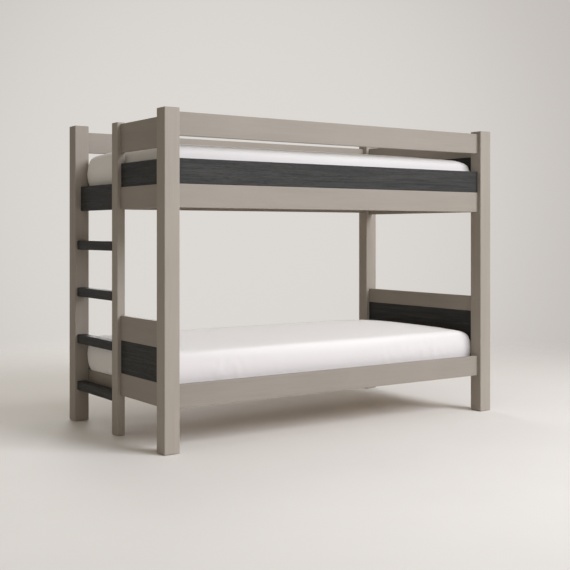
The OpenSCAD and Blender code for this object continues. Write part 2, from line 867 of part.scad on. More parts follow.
module upper_mattress() mattress("upper");
module lower_mattress() mattress("lower");
module upper_fitted_sheet() fitted_sheet("upper");
module lower_fitted_sheet() fitted_sheet("lower");

// ---------------------------------------------------------------- the bed

front_left_post();
front_right_post();
back_left_post();
back_right_post();
ladder_stile();
ladder_rung_1();
ladder_rung_2();
ladder_rung_3();
ladder_rung_4();
ladder_header_board();
upper_front_rail();
upper_front_accent();
upper_front_guard();
upper_back_rail();
upper_back_accent();
upper_back_guard();
upper_left_rail();
upper_left_accent();
upper_left_guard();
upper_right_rail();
upper_right_accent();
upper_right_guard();
lower_front_rail();
lower_back_rail();
lower_cross_rail();
lower_left_rail();
lower_left_accent();
lower_left_top_board();
lower_right_rail();
lower_right_accent();
lower_right_top_board();
upper_front_ledger();
upper_back_ledger();
lower_front_ledger();
lower_back_ledger();
upper_slats();
lower_slats();
upper_slat_straps();
lower_slat_straps();
upper_slat_screws();
lower_slat_screws();
upper_ledger_screws();
lower_ledger_screws();
upper_hook_plates();
lower_hook_plates();
upper_strike_plates();
lower_strike_plates();
hook_plate_screws();
strike_plate_screws();
guard_dowels();
accent_dowels();
cross_rail_dowels();
floor_glides();
upper_mattress();
lower_mattress();
upper_fitted_sheet();
lower_fitted_sheet();
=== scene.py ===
import math

import bpy
import numpy as np
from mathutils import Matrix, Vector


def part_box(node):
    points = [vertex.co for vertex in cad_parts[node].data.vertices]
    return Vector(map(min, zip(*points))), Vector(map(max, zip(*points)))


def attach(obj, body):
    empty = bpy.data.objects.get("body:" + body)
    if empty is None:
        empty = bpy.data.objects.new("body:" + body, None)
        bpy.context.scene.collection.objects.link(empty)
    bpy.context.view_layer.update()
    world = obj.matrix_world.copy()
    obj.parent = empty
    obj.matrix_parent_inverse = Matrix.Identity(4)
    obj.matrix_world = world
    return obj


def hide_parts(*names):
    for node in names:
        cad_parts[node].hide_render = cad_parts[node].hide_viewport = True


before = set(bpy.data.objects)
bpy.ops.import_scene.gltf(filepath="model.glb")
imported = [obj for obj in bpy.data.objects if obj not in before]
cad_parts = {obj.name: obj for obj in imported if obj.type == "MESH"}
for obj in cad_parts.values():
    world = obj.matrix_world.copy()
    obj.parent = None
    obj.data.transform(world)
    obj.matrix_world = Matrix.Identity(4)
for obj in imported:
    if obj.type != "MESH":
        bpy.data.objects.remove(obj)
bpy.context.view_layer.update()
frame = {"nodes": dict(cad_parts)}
nodes = frame["nodes"]

# ------------------------------------------------------------------ camera
# The photograph is taken from in front of the ladder end, level with the gap between
# the two beds. Its place and its lens come from the edges of the posts and boards.
CAMERA_PLACE = (-3.342, -4.839, 1.058)
CAMERA_TURN = math.radians(34.62)
SENSOR = 36.0
FOCAL_PIXELS = 1017.0
PICTURE_PIXELS = 570.0
HORIZON_PIXELS_UP = 53.3

camera_lens = bpy.data.cameras.new("camera")
camera_lens.sensor_fit = "HORIZONTAL"
camera_lens.sensor_width = SENSOR
camera_lens.lens = SENSOR * FOCAL_PIXELS / PICTURE_PIXELS
camera_lens.shift_y = -HORIZON_PIXELS_UP / PICTURE_PIXELS
camera_lens.clip_end = 200
camera = bpy.data.objects.new("camera", camera_lens)
camera.location = CAMERA_PLACE
camera.rotation_euler = (math.pi / 2, 0, -CAMERA_TURN)
bpy.context.scene.collection.objects.link(camera)
bpy.context.scene.camera = camera


# ------------------------------------------------------------------ posts and boards
# The posts, rails, guards and top boards are solid wood, planed square with eased
# edges and sprayed in a satin taupe lacquer. The lacquer fills the pores, so only a
# faint grain shows along each board, with the long marks of the sanding in the sheen.
class Varying:
    """A value that varies over a piece. Sums and products on it add Math nodes."""

    def __init__(self, nodes, socket):
        self.nodes, self.socket = nodes, socket

    def output(self, name):
        """Another output of the node that this value comes from."""
        return Varying(self.nodes, self.socket.node.outputs[name])

    def math(self, operation, *values):
        return self.nodes.node("ShaderNodeMath", {"operation": operation}, *values)

    def __add__(self, other):
        return self.math("ADD", self, other)

    def __sub__(self, other):
        return self.math("SUBTRACT", self, other)

    def __rsub__(self, other):
        return self.math("SUBTRACT", other, self)

    def __mul__(self, other):
        return self.math("MULTIPLY", self, other)

    __radd__, __rmul__ = __add__, __mul__


class Nodes:
    """A tree of nodes that grows by one with each call to node."""

    def __init__(self, tree):
        self.tree = tree

    def node(self, kind, settings, *values, out=0, **named):
        """Adds a node: its settings first, then the values or links of its sockets."""
        node = self.tree.nodes.new(kind)
        for name, value in settings.items():
            setattr(node, name, value)
        inputs = {s.name.replace(" ", "_"): s for s in reversed(node.inputs) if s.enabled}
        fed = [*zip(node.inputs, values), *((inputs[n], value) for n, value in named.items())]
        for socket, value in fed:
            if isinstance(value, Varying):
                self.tree.links.new(value.socket, socket)
            else:
                is_colour = socket.type == "RGBA"
                socket.default_value = (*value, 1) if is_colour else value
        outputs = {s.name: s for s in reversed(node.outputs) if s.enabled}
        return Varying(self, node.outputs[out] if isinstance(out, int) else outputs[out])

    def ramp(self, value, low, high):
        """0 below low, 1 above high, and a smooth rise between them."""
        return self.node("ShaderNodeMapRange", {"interpolation_type": "SMOOTHSTEP"},
                         value, low, high, 0.0, 1.0)

    def blend(self, first, second, share):
        """A colour that goes from the first to the second as share goes from 0 to 1."""
        return self.node("ShaderNodeMix", {"data_type": "RGBA"}, Factor=share, A=first,
                         B=second, out="Result")


class Finish(Nodes):
    """A material on one shader, and the nodes that feed it."""

    def __init__(self, name, **constants):
        self.material = bpy.data.materials.new(name)
        self.material.use_nodes = True
        super().__init__(self.material.node_tree)
        self.shader = self.tree.nodes["Principled BSDF"]
        for socket, value in constants.items():
            self.shader.inputs[socket.replace("_", " ")].default_value = value

    def place(self, stretch=(1, 1, 1), kind="Object"):
        """Where a point lies on the piece, squeezed by stretch along each axis."""
        place = self.node("ShaderNodeTexCoord", {}, out=kind)
        return self.node("ShaderNodeMapping", {}, Vector=place, Scale=stretch)

    def noise(self, place, scale, detail=2.0, roughness=0.5, distortion=0.0):
        """A soft random pattern, with scale cells to each unit of place."""
        return self.node("ShaderNodeTexNoise", {}, Vector=place, Scale=scale, Detail=detail,
                         Roughness=roughness, Distortion=distortion)

    def bump(self, height, depth):
        """A surface normal for a relief of that depth in metres."""
        return self.node("ShaderNodeBump", {}, Strength=1.0, Distance=depth, Height=height)

    def feed(self, **sockets):
        for socket, value in sockets.items():
            self.tree.links.new(value.socket, self.shader.inputs[socket.replace("_", " ")])
        return self.material


def along(axis, lengthwise, across):
    """The stretch of a pattern that runs along one axis of the bed."""
    return tuple(lengthwise if a == axis else across for a in "xyz")


TAUPE_DARK = (0.338, 0.299, 0.259)
TAUPE = (0.375, 0.333, 0.290)
TAUPE_LIGHT = (0.405, 0.362, 0.317)
LACQUER_RELIEF = 0.00016


def shaded(colour, lightness):
    return tuple(lightness * channel for channel in colour)


def taupe_lacquer(name, axis, lightness):
    """The lacquered wood of pieces whose grain runs along one axis, darker by lightness as
    painted shade.
    """
    dark, plain, light = (shaded(colour, lightness)
                          for colour in (TAUPE_DARK, TAUPE, TAUPE_LIGHT))
    finish = Finish("taupe_lacquer_" + name, Specular_IOR_Level=0.22)
    fibres = finish.noise(finish.place(along(axis, 1.1, 60)), scale=4.0, detail=6.0,
                          roughness=0.62, distortion=0.3)
    bands = finish.noise(finish.place(along(axis, 0.35, 6)), scale=3.0, detail=3.0,
                         distortion=0.8)
    cloud = finish.noise(finish.place(), scale=2.2)
    figure = finish.ramp(fibres * 0.55 + bands * 0.45, 0.30, 0.70)
    colour = finish.blend(dark, plain, figure)
    colour = finish.blend(colour, light, finish.ramp(cloud, 0.35, 0.8) * 0.45)
    sanding = finish.noise(finish.place(along(axis, 3, 240)), scale=3.0)
    return finish.feed(
        Base_Color=colour,
        Roughness=0.42 + fibres * 0.12 + sanding * 0.06,
        Normal=finish.bump(fibres * 0.7 + sanding * 0.3, LACQUER_RELIEF),
    )


def dress(names, material):
    """Gives CAD nodes their finish."""
    for name in names:
        slots = nodes[name].data.materials
        slots.clear()
        slots.append(material)


# Each group's grain, its lightness and its pieces. The lightness is painted shade: the
# boards, the lower ones most, and the front right and back left posts are darker for the
# shade on them.
LACQUERED = {
    "uprights": ("z", 1.0, ["front_left_post", "back_right_post", "ladder_stile"]),
    "right_upright": ("z", 0.94, ["front_right_post"]),
    "back_upright": ("z", 0.90, ["back_left_post"]),
    "upper_long_boards": ("x", 0.87, ["upper_front_rail", "upper_front_guard",
                                      "upper_back_rail", "upper_back_guard"]),
    "lower_long_boards": ("x", 0.81, ["lower_front_rail", "lower_back_rail"]),
    "upper_end_boards": ("y", 0.87, ["upper_left_rail", "upper_left_guard",
                                     "upper_right_rail", "upper_right_guard"]),
    "lower_end_boards": ("y", 0.84, ["lower_cross_rail", "lower_left_rail",
                                     "lower_left_top_board", "lower_right_rail",
                                     "lower_right_top_board"]),
}
for name, (axis, lightness, pieces) in LACQUERED.items():
    dress(pieces, taupe_lacquer(name, axis, lightness))

# ------------------------------------------------------------------ accent boards
# The accent boards, the ladder's rungs and the board above them are oak, brushed so
# that its pores stand open, stained black and oiled. The raised grain catches more
# light than the pores, so fine grey streaks run along each board.
BLACK_PORE = (0.016, 0.016, 0.016)
BLACK_WOOD = (0.036, 0.036, 0.036)
BLACK_RAISED = (0.070, 0.068, 0.066)
BRUSHED_RELIEF = 0.0006


def black_oak(axis, lightness):
    """The stained oak of pieces whose grain runs along one axis, darker by lightness as
    painted shade.
    """
    pore, wood, raised_wood = (shaded(colour, lightness)
                               for colour in (BLACK_PORE, BLACK_WOOD, BLACK_RAISED))
    finish = Finish("black_oak_" + axis, Specular_IOR_Level=0.09)
    streaks = finish.noise(finish.place(along(axis, 1.6, 110)), scale=3.0, detail=5.0,
                           roughness=0.65, distortion=0.4)
    bands = finish.noise(finish.place(along(axis, 0.5, 16)), scale=3.0, detail=3.0,
                         roughness=0.55, distortion=1.2)
    pores = finish.noise(finish.place(along(axis, 9, 420)), scale=3.0)
    open_pores = finish.ramp(pores, 0.56, 0.68)
    raised = finish.ramp(streaks * 0.6 + bands * 0.4, 0.36, 0.68)
    colour = finish.blend(wood, raised_wood, raised)
    colour = finish.blend(colour, pore, open_pores * 0.8)
    return finish.feed(
        Base_Color=colour,
        Roughness=0.50 + open_pores * 0.22 - raised * 0.08,
        Normal=finish.bump(raised * 0.6 - open_pores * 0.6, BRUSHED_RELIEF),
    )


# The pieces across the bed are a little darker than the long boards: painted shade
dress(["upper_front_accent", "upper_back_accent"], black_oak("x", lightness=1.0))
dress(["ladder_header_board", "upper_left_accent", "upper_right_accent", "lower_left_accent",
       "lower_right_accent", "ladder_rung_1", "ladder_rung_2", "ladder_rung_3",
       "ladder_rung_4"], black_oak("y", lightness=0.85))

# ------------------------------------------------------------------ slatted bases
# The slats and the ledgers under their ends are bare planed pine, pale between darker
# growth lines and dotted with a few knots. The slats lie loose on the ledgers except
# the first and the last, which are screwed down.
PINE_PALE = (0.60, 0.43, 0.24)
PINE_LINE = (0.44, 0.26, 0.11)
PINE_KNOT = (0.20, 0.095, 0.035)
PLANED_RELIEF = 0.0003


def planed_pine(axis):
    """Bare pine whose grain runs along one axis."""
    finish = Finish("planed_pine_" + axis, Specular_IOR_Level=0.3)
    warp = finish.noise(finish.place(along(axis, 0.7, 5)), scale=3.0)
    rings = finish.node(
        "ShaderNodeTexWave", {"wave_type": "RINGS", "rings_direction": axis.upper()},
        Vector=finish.place(along(axis, 0.25, 9)), Scale=2.6, Distortion=5.0, Detail=2.0,
        Detail_Scale=1.4, out="Fac")
    fibres = finish.noise(finish.place(along(axis, 3, 180)), scale=3.0, detail=4.0)
    knots = finish.node("ShaderNodeTexVoronoi", {}, Vector=finish.place(along(axis, 2.1, 5)),
                        Scale=1.3, out="Distance")
    knot = 1 - finish.ramp(knots, 0.03, 0.09)
    lines = finish.ramp(rings * 0.7 + warp * 0.3, 0.45, 0.95)
    colour = finish.blend(PINE_PALE, PINE_LINE, lines * 0.75 + fibres * 0.15)
    colour = finish.blend(colour, PINE_KNOT, knot)
    return finish.feed(
        Base_Color=colour,
        Roughness=0.58 + fibres * 0.16,
        Normal=finish.bump(fibres * 0.5 + lines * 0.5, PLANED_RELIEF),
    )


dress(["upper_slats", "lower_slats"], planed_pine("y"))
dress(["upper_front_ledger", "upper_back_ledger", "lower_front_ledger",
       "lower_back_ledger"], planed_pine("x"))

# ------------------------------------------------------------------ webbing
# Two lines of woven polypropylene webbing run under each base and keep the slats
# apart. It is a plain weave of flat grey yarns.
YARN = 0.0032
YARN_RELIEF = 0.0006
WEBBING_DARK = (0.045, 0.044, 0.043)
WEBBING_LIGHT = (0.115, 0.112, 0.108)


def weave(finish, place, pitch):
    """A plain weave: 0 between the yarns and 1 on top of them."""
    warp, weft = (
        finish.node("ShaderNodeTexWave", {"bands_direction": axis}, Vector=place,
                    Scale=math.pi / 10 / pitch, Distortion=0.0, out="Fac")
        for axis in "XY")
    return warp * weft


webbing = Finish("webbing", Specular_IOR_Level=0.3)
yarns = weave(webbing, webbing.place(), YARN)
fluff = webbing.noise(webbing.place(), scale=900.0)
dress(["upper_slat_straps", "lower_slat_straps"], webbing.feed(
    Base_Color=webbing.blend(WEBBING_DARK, WEBBING_LIGHT, yarns * 0.7 + fluff * 0.3),
    Roughness=0.62 + fluff * 0.2,
    Normal=webbing.bump(yarns, YARN_RELIEF),
))

# Each slat is held to each strap by two wire staples, driven up from below. Their
# crowns lie along the bed, one near each edge of the webbing.
STAPLE_WIRE = 0.0013
STAPLE_LENGTH = 0.011
STAPLE_FROM_EDGE = 0.006
STAPLE_SUNK = 0.2
STAPLE_SIDES = 8
SLATS = 14
SLAT_WIDTH = 0.070
STRAP_WIDTH = 0.028

staple_steel = Finish("staple_steel", Metallic=1.0)
drawn = staple_steel.noise(staple_steel.place((400, 2500, 2500)), scale=1.0)
staple_steel.feed(
    Base_Color=staple_steel.blend((0.42, 0.41, 0.40), (0.62, 0.61, 0.60), drawn),
    Roughness=0.25 + drawn * 0.2,
    Normal=staple_steel.bump(drawn, 0.00005),
)


class Growth(Nodes):
    """A Geometry Nodes tree that makes a piece from a start mesh and named sizes."""

    def __init__(self, name, **sizes):
        super().__init__(bpy.data.node_groups.new(name, "GeometryNodeTree"))
        sockets = self.tree.interface.new_socket
        sockets("Start", in_out="INPUT", socket_type="NodeSocketGeometry")
        for size, kind in {**sizes, "Material": "Material"}.items():
            sockets(size, in_out="INPUT", socket_type="NodeSocket" + kind)
        sockets("Geometry", in_out="OUTPUT", socket_type="NodeSocketGeometry")
        self.inputs = self.tree.nodes.new("NodeGroupInput").outputs

    def given(self, name):
        return Varying(self, self.inputs[name])

    def vector(self, **parts):
        return self.node("ShaderNodeCombineXYZ", {}, **parts)

    def repeat(self, points, shape, **turn):
        """A copy of a shape at each point, all as plain faces."""
        copies = self.node("GeometryNodeInstanceOnPoints", {}, Points=points,
                           Instance=shape, **turn)
        return self.node("GeometryNodeRealizeInstances", {}, Geometry=copies)

    def finish(self, geometry):
        geometry = self.node("GeometryNodeSetMaterial", {}, Geometry=geometry,
                             Material=self.given("Material"))
        self.tree.links.new(geometry.socket, self.tree.nodes.new("NodeGroupOutput").inputs[0])

    def grow(self, name, start=None, **sizes):
        """A plain mesh of what the tree makes, as a piece of that name."""
        holder = bpy.data.objects.new(name + "_start",
                                      start or bpy.data.meshes.new(name + "_start"))
        bpy.context.scene.collection.objects.link(holder)
        modifier = holder.modifiers.new("grow", "NODES")
        modifier.node_group = self.tree
        sockets = {s.name: s.identifier for s in self.tree.interface.items_tree
                   if s.in_out == "INPUT"}
        for size, value in sizes.items():
            modifier[sockets[size]] = value
        graph = bpy.context.evaluated_depsgraph_get()
        mesh = bpy.data.meshes.new_from_object(holder.evaluated_get(graph))
        bpy.data.objects.remove(holder)
        piece = bpy.data.objects.new(name, mesh)
        bpy.context.scene.collection.objects.link(piece)
        return piece


# One row of staples has a staple at each slat. Each strap has two rows.
staple_rows = Growth("staple_rows", Slats="Int", Pitch="Float", First="Vector",
                     Straps_apart="Float", Rows_apart="Float", Crown="Float", Wire="Float")
line = staple_rows.node("GeometryNodeMeshLine", {}, Count=staple_rows.given("Slats"),
                        Start_Location=staple_rows.given("First"),
                        Offset=staple_rows.vector(X=staple_rows.given("Pitch")))
for apart in ("Straps_apart", "Rows_apart"):
    pair = staple_rows.node("GeometryNodeMeshLine", {}, Count=2,
                            Offset=staple_rows.vector(Y=staple_rows.given(apart)))
    line = staple_rows.repeat(line, pair)
crown = staple_rows.node("GeometryNodeMeshCylinder", {}, Vertices=STAPLE_SIDES,
                         Radius=staple_rows.given("Wire") * 0.5,
                         Depth=staple_rows.given("Crown"), out="Mesh")
crown = staple_rows.node("GeometryNodeTransform", {}, Geometry=crown,
                         Rotation=(0.0, math.pi / 2, 0.0))
staple_rows.finish(staple_rows.repeat(line, crown))

for level in ("upper", "lower"):
    slats_low, slats_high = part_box(level + "_slats")
    straps_low, straps_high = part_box(level + "_slat_straps")
    staples = staple_rows.grow(
        level + "_slat_staples",
        Slats=SLATS,
        Pitch=(slats_high.x - slats_low.x - SLAT_WIDTH) / (SLATS - 1),
        First=(slats_low.x + SLAT_WIDTH / 2, straps_low.y + STAPLE_FROM_EDGE,
               straps_low.z - STAPLE_WIRE * STAPLE_SUNK),
        Straps_apart=straps_high.y - straps_low.y - STRAP_WIDTH,
        Rows_apart=STRAP_WIDTH - 2 * STAPLE_FROM_EDGE,
        Crown=STAPLE_LENGTH,
        Wire=STAPLE_WIRE,
        Material=staple_steel.material,
    )
    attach(staples, "frame")

# ------------------------------------------------------------------ fittings
# Zinc-plated steel plates hook the rails to the posts, and zinc-plated screws hold the
# plates, ledgers and slats. The plating is a bright grey with a faint cloudy spangle.
zinc = Finish("zinc_plate", Metallic=1.0)
spangle = zinc.node("ShaderNodeTexVoronoi", {}, Vector=zinc.place(), Scale=260.0,
                    out="Color")
cloud = zinc.noise(zinc.place(), scale=60.0, detail=3.0)
dress(["upper_hook_plates", "lower_hook_plates", "upper_strike_plates", "lower_strike_plates",
       "hook_plate_screws", "strike_plate_screws", "upper_slat_screws", "lower_slat_screws",
       "upper_ledger_screws", "lower_ledger_screws"], zinc.feed(
    Base_Color=zinc.blend((0.50, 0.51, 0.53), (0.66, 0.67, 0.68), spangle),
    Roughness=0.26 + cloud * 0.2,
    Normal=zinc.bump(cloud, 0.0001),
))

# The guards, accent boards and the lower cross rail are pegged with beech dowels. They
# are rolled with fine grooves for the glue.
beech = Finish("beech", Specular_IOR_Level=0.3)
flecks = beech.noise(beech.place((90, 700, 700)), scale=1.0, detail=3.0)
grooves = beech.noise(beech.place((4, 1500, 1500)), scale=1.0, detail=1.0)
dress(["guard_dowels", "accent_dowels", "cross_rail_dowels"], beech.feed(
    Base_Color=beech.blend((0.52, 0.33, 0.18), (0.40, 0.22, 0.10),
                           beech.ramp(flecks, 0.45, 0.65)),
    Roughness=0.55 + flecks * 0.15,
    Normal=beech.bump(grooves, 0.0003),
))

# A glide on a pin is pressed into the foot of each post and of the stile. It is dark
# pressed wool felt, with paler fibres in it.
felt = Finish("glide_felt", Specular_IOR_Level=0.1)
fibres = felt.noise(felt.place(), scale=1400.0, detail=4.0, roughness=0.7)
matting = felt.noise(felt.place(), scale=120.0, detail=3.0)
dress(["floor_glides"], felt.feed(
    Base_Color=felt.blend((0.035, 0.032, 0.030), (0.11, 0.10, 0.095),
                          fibres * 0.6 + matting * 0.4),
    Roughness=0.85 + fibres * 0.12,
    Normal=felt.bump(fibres, 0.0008),
))

# ------------------------------------------------------------------ mattresses
# Each mattress is a slab of foam in a knitted cover, a standard 965 by 2032 mm and
# 222 mm thick at its crown. Its walls swell, its edges give, and it lies loose on the
# slats. The fitted sheet hides it, except between the slats from below.
MATTRESS_LENGTH = 2.032
MATTRESS_WIDTH = 0.965
MATTRESS_HEIGHT = 0.222
CROWN = 0.026
CORNER_RADIUS = 0.016
TOP_RADIUS = 0.036
BOTTOM_RADIUS = 0.016
BULGE = 0.008
WIDEST_AT = 0.45
DRAWN_IN = 0.002
DRAWN_IN_SHARPNESS = 8
# How far in from the edges the crown rises, and how much the edges give: at the left
# and the right end of the bed, then at its front and its back. The ladder is on the left.
CROWN_RUNS = ((0.12, 0.44), (0.42, 0.42))
SOFT_EDGES = ((0.0, 0.010), (0.008, 0.008))
SOFTEST_EDGE = 0.010
SOFT_REACH = 0.28
# How deep the sheet draws the corners down at the left and the right end, and how far
# the dip reaches along the bed and across it
CORNER_DIPS = (0.0, 0.014)
DIP_REACH = (0.12, 0.30)
UNDERSIDE_REACH = 0.100
CELL = 0.020
CORNER_CELLS = 4
SHOULDER_ROWS, WALL_ROWS, TUCK_ROWS = 5, 7, 3
SHOULDER = MATTRESS_HEIGHT - CROWN
TOP_INSET = BULGE + TOP_RADIUS


def outline_point(across, along_it, inset):
    """A point of the mattress seen from above, from two numbers between -2 and 2.

    Up to 1 they measure the straight part of a side, and beyond it the rounded corner.
    """
    radius = CORNER_RADIUS + inset
    u, v = np.maximum(np.abs(across) - 1, 0), np.maximum(np.abs(along_it) - 1, 0)
    p, q = np.minimum(np.abs(across), 1), np.minimum(np.abs(along_it), 1)
    x = p * (MATTRESS_LENGTH / 2 - inset - radius) + u * np.sqrt(1 - v * v / 2) * radius
    y = q * (MATTRESS_WIDTH / 2 - inset - radius) + v * np.sqrt(1 - u * u / 2) * radius
    x -= DRAWN_IN * (1 - q * q) * (np.abs(across) / 2) ** DRAWN_IN_SHARPNESS
    y -= DRAWN_IN * (1 - p * p) * (np.abs(along_it) / 2) ** DRAWN_IN_SHARPNESS
    return np.sign(across) * x, np.sign(along_it) * y


def wall_rows(hem):
    """Inset, height and outward slope of each row down the wall and in under the hem."""
    widest, top = MATTRESS_HEIGHT * WIDEST_AT, SHOULDER - TOP_RADIUS
    for turn in np.radians(np.linspace(90, 0, SHOULDER_ROWS + 1)[1:]):
        yield (BULGE + TOP_RADIUS * (1 - math.cos(turn)), top + TOP_RADIUS * math.sin(turn),
               math.cos(turn), math.sin(turn))
    for height in np.linspace(top, BOTTOM_RADIUS, WALL_ROWS + 1)[1:]:
        reach = top - widest if height > widest else widest - BOTTOM_RADIUS
        yield BULGE * ((height - widest) / reach) ** 2, height, 1, 0
    for turn in np.radians(np.linspace(0, 90, TUCK_ROWS + 1)[1:]):
        yield (BULGE + BOTTOM_RADIUS * (1 - math.cos(turn)),
               BOTTOM_RADIUS * (1 - math.sin(turn)), math.cos(turn), -math.sin(turn))
    for run in np.linspace(0, hem, round(hem / CELL) + 1)[1:]:
        yield BULGE + BOTTOM_RADIUS + run, 0.0, 0, -1


def grid_steps(side):
    """Numbers from -2 to 2 that give even cells along one side of the top."""
    cells = round((side - 2 * (TOP_INSET + CORNER_RADIUS)) / CELL)
    return np.concatenate([np.linspace(-2, -1, CORNER_CELLS + 1)[:-1],
                           np.linspace(-1, 1, cells + 1)[:-1],
                           np.linspace(1, 2, CORNER_CELLS + 1)])


def give(points):
    """How far the foam gives under the sheet, at its edges and at the tight corners."""
    dip, firm = np.where(points[:, 0] < 0, *CORNER_DIPS), 1.0
    for axis, side in enumerate((MATTRESS_LENGTH, MATTRESS_WIDTH)):
        place = points[:, axis]
        near = np.clip(1 - (side / 2 - np.abs(place)) / DIP_REACH[axis], 0, 1)
        dip = dip * near * near * (3 - 2 * near)
        inwards = np.clip((side / 2 - TOP_INSET - np.abs(place)) / SOFT_REACH, 0, 1)
        soft = np.where(place < 0, *SOFT_EDGES[axis])
        firm = firm * (1 - soft / SOFTEST_EDGE * (1 - inwards) ** 2)
    return dip + SOFTEST_EDGE * (1 - firm)


def mattress_shape(gap, hem):
    """A form that stands off the mattress by gap: its points, the faces of its top, and
    the columns of its wall, from the top's rim down to the hem."""
    across, along_it = np.meshgrid(grid_steps(MATTRESS_LENGTH), grid_steps(MATTRESS_WIDTH),
                                   indexing="ij")
    x, y = outline_point(across, along_it, TOP_INSET)
    rise = 1.0
    for place, side, runs in ((x, MATTRESS_LENGTH, CROWN_RUNS[0]),
                              (y, MATTRESS_WIDTH, CROWN_RUNS[1])):
        inwards = (side / 2 - TOP_INSET - np.abs(place)) / np.where(place < 0, *runs)
        rise = rise * (1 - (1 - np.clip(inwards, 0, 1)) ** 2)
    points = [np.stack([x, y, SHOULDER + CROWN * rise + gap], axis=-1).reshape(-1, 3)]
    grid = np.arange(x.size).reshape(x.shape)
    top = np.stack([grid[:-1, :-1], grid[1:, :-1], grid[1:, 1:], grid[:-1, 1:]], axis=-1)
    rim = np.concatenate([grid[:-1, 0], grid[-1, :-1], grid[:0:-1, -1], grid[0, :0:-1]])
    columns = [rim]
    for inset, height, out, up in wall_rows(hem):
        x, y = outline_point(across.flat[rim], along_it.flat[rim], inset - gap * out)
        columns.append(grid.size + len(rim) * (len(columns) - 1) + np.arange(len(rim)))
        points.append(np.stack([x, y, np.full(len(rim), height + gap * up)], axis=-1))
    points = np.concatenate(points)
    points[:, 2] -= give(points) * points[:, 2] / MATTRESS_HEIGHT
    return points, top.reshape(-1, 4), np.stack(columns)


def wall_faces(columns):
    """The four-sided faces between neighbouring columns of a wall."""
    beside = np.roll(columns, -1, axis=1)
    return np.stack([columns[:-1], columns[1:], beside[1:], beside[:-1]],
                    axis=-1).reshape(-1, 4)


def new_piece(name, points, faces, material):
    mesh = bpy.data.meshes.new(name)
    mesh.from_pydata(points.tolist(), [], [list(map(int, face)) for face in faces])
    mesh.polygons.foreach_set("use_smooth", [True] * len(mesh.polygons))
    mesh.materials.append(material)
    piece = bpy.data.objects.new(name, mesh)
    bpy.context.scene.collection.objects.link(piece)
    return piece


KNIT = 0.0026
TICKING_RELIEF = 0.0008

ticking = Finish("knitted_ticking", Specular_IOR_Level=0.15, Sheen_Weight=0.2)
knit = weave(ticking, ticking.place(), KNIT)
quilting = ticking.noise(ticking.place((30, 30, 30)), scale=1.0, detail=3.0)
ticking.feed(
    Base_Color=ticking.blend((0.66, 0.63, 0.58), (0.80, 0.78, 0.73),
                             knit * 0.6 + quilting * 0.4),
    Roughness=0.80 + knit * 0.1,
    Normal=ticking.bump(knit + quilting * 0.6, TICKING_RELIEF),
)

mattresses = {}
for level in ("upper", "lower"):
    points, top, columns = mattress_shape(0.0, UNDERSIDE_REACH)
    points[:, 2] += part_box(level + "_mattress")[0].z
    mattress = new_piece(level + "_foam_mattress", points,
                         [*top, *wall_faces(columns), columns[-1][::-1]],
                         ticking.material)
    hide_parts(level + "_mattress")
    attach(mattress, level + "_bedding")
    mattresses[level] = mattress

# ------------------------------------------------------------------ fitted sheets
# A white cotton sheet with elastic in its hem is pulled over each mattress and tucked
# under it, with a square cut out at each corner for the seam. It lies taut on top, and
# down the walls it puckers slightly. Its long sides are greyer with painted shade, its
# ends lighter with painted light, and the hollows of its creases darker with painted shade.
HEM_REACH = 0.070
SHEET_STAND_OFF = 0.0016
SHEET_THICKNESS = 0.0006
THREAD_PITCH = 0.0009
COTTON_RELIEF = 0.0010
WHITE_LOW, WHITE_HIGH = (0.81, 0.785, 0.78), (0.885, 0.862, 0.857)
# The long sides are greyed as painted shade, and the ends lightened as painted light.
PAINTED_SIDE_SHADE = (0.70, 0.665, 0.667)
PAINTED_END_LIGHT = (0.95, 0.93, 0.92)

cotton = Finish("white_cotton", Specular_IOR_Level=0.25, Sheen_Weight=0.4,
                Sheen_Roughness=0.6)
cloth_place = cotton.place(kind="UV")
threads = weave(cotton, cloth_place, THREAD_PITCH)
slubs = cotton.noise(cotton.place((70, 900, 1), kind="UV"), scale=1.0)
creases = cotton.noise(cotton.place(), scale=5.0, detail=4.0, roughness=0.6, distortion=0.8)


def over_edge(axis, side, start, end):
    """0 on top of the mattress and 1 past its edge, by the place on the flat cut."""
    place = cotton.node("ShaderNodeSeparateXYZ", {}, cloth_place, out=axis)
    edge = side / 2 - TOP_INSET
    return cotton.ramp(place.math("ABSOLUTE", place), edge + start, edge + end)


# The white varies with the threads and slubs, and is darker in the hollows of the creases as
# painted shade.
white = cotton.blend(WHITE_LOW, WHITE_HIGH, threads * 0.25 + slubs * 0.25 + creases * 0.5)
# Painted shade greys the long sides, and painted light lightens the ends.
white = cotton.blend(white, PAINTED_SIDE_SHADE, over_edge("Y", MATTRESS_WIDTH, 0.02, 0.10) * 0.75)
white = cotton.blend(white, PAINTED_END_LIGHT, over_edge("X", MATTRESS_LENGTH, -0.01, 0.05) * 0.7)
cotton.feed(
    Base_Color=white,
    Roughness=0.74 + threads * 0.08 + slubs * 0.06,
    Normal=cotton.bump(threads * 0.12 + slubs * 0.18 + creases * 0.7, COTTON_RELIEF),
)

# Each corner is closed with a folded seam from the top edge down the wall, between two
# rows of stitches. The thread and the fold are cotton of the sheet's own white.
SEAM_ROWS = 13
SEAM_RADIUS = 0.0011
SEAM_SIDES = 8
SEAM_STEP = 0.004
STITCH_PITCH = 0.0042
STITCH_LENGTH = 0.0030
STITCHES_FROM_SEAM = 0.0027
THREAD_RADIUS = 0.0004
THREAD_SIDES = 5

seam_cotton = Finish("seam_cotton", Specular_IOR_Level=0.25)
plies = seam_cotton.noise(seam_cotton.place(), scale=1600.0)
seam_cotton.feed(
    Base_Color=seam_cotton.blend((0.74, 0.715, 0.70), (0.86, 0.835, 0.825), plies),
    Roughness=0.70 + plies * 0.12,
    Normal=seam_cotton.bump(plies, THREAD_RADIUS / 2),
)


